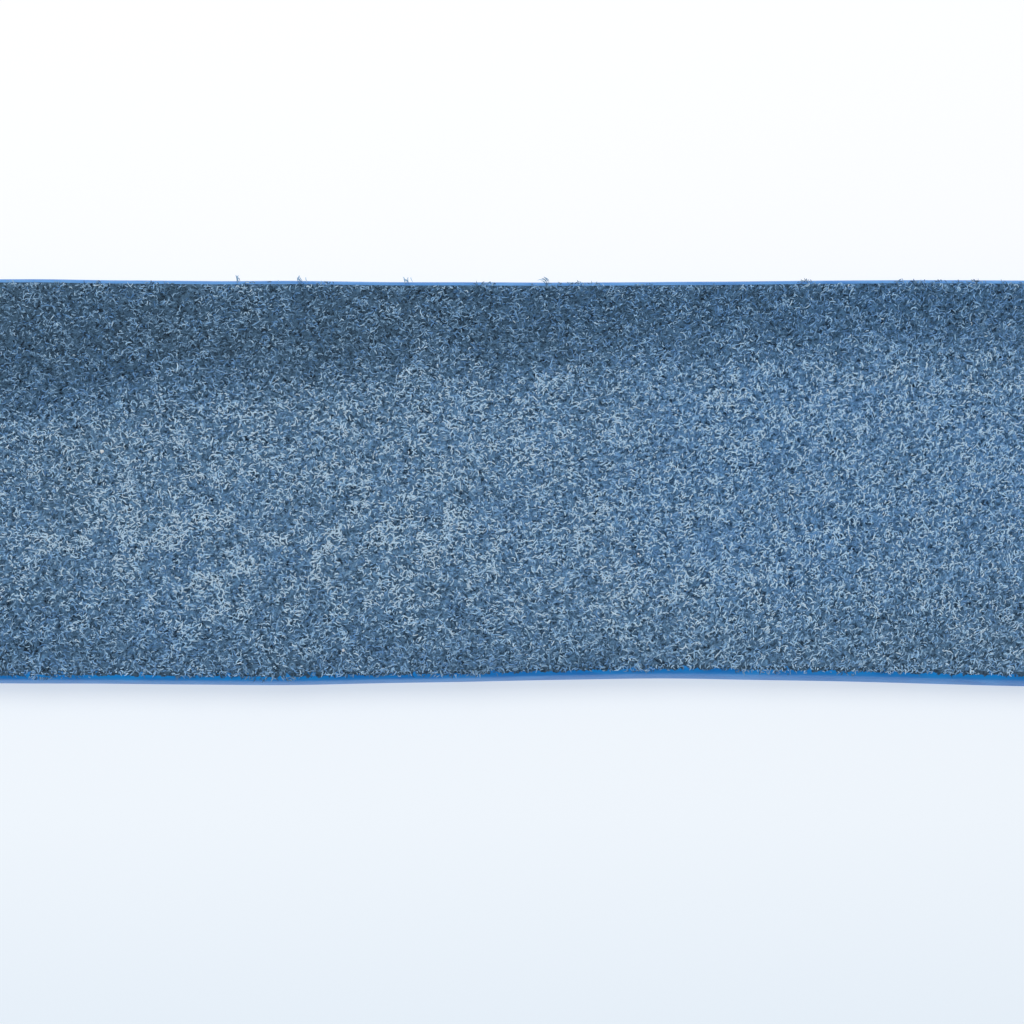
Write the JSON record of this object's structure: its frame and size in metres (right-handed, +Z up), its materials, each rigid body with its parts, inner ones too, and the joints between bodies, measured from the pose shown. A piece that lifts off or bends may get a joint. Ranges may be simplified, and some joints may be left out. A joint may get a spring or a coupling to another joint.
{
  "type": "leather strop",
  "caption": "Long leather strap with its rough side up, folded round a D-ring with a swivel bolt snap at one end and a stitched leather grip at the other, for honing blades.",
  "frame": {"origin": "centre of the bounding box at the surface that the strop lies on", "axes": "+X along the strap from the snap hook to the grip, +Y across the strap, +Z up out of the flesh side"},
  "size_m": [0.6396, 0.0588, 0.0155],
  "materials": {
    "flesh_leather": "napped flesh side, dyed slate blue",
    "grain_leather": "smooth grain side, dyed blue, satin",
    "edge_paint": "bright blue painted edge, satin",
    "nickel": "nickel plated",
    "spring_steel": "drawn wire",
    "waxed_thread": "waxed linen thread"
  },
  "bodies": {
    "strop": {"strap": "flesh_leather", "hanger_post_1": "nickel", "hanger_post_2": "nickel", "hanger_screw_1": "nickel", "hanger_screw_2": "nickel", "grip_upper": "grain_leather", "grip_lower": "grain_leather", "grip_core": "grain_leather", "grip_post_1": "nickel", "grip_post_2": "nickel", "grip_screw_1": "nickel", "grip_screw_2": "nickel"},
    "ring": {"d_ring": "nickel"},
    "eye": {"swivel_eye": "nickel"},
    "snap": {"snap_body": "nickel", "snap_spring": "spring_steel"},
    "bolt": {"snap_bolt": "nickel", "thumb_stud": "nickel"}
  },
  "joints": [
    {"name": "ring_swing", "type": "hinge", "parent": "strop", "child": "ring", "pos_m": [-0.21218, 0, 0.0072], "axis": [0, 1, 0], "range_deg": [-105, 105]},
    {"name": "eye_tilt", "type": "hinge", "parent": "ring", "child": "eye", "pos_m": [-0.24262, 0, 0.0053], "axis": [0, 1, 0], "range_deg": [-45, 45]},
    {"name": "snap_swivel", "type": "hinge", "parent": "eye", "child": "snap", "pos_m": [-0.24262, 0, 0.0061], "axis": [-1, 0, 0], "continuous": true},
    {"name": "bolt_slide", "type": "slide", "parent": "snap", "child": "bolt", "axis": [1, 0, 0], "range_m": [0, 0.011], "stiffness_N_per_m": 300, "springref_m": -0.008, "deforming": ["snap_spring"]}
  ]
}
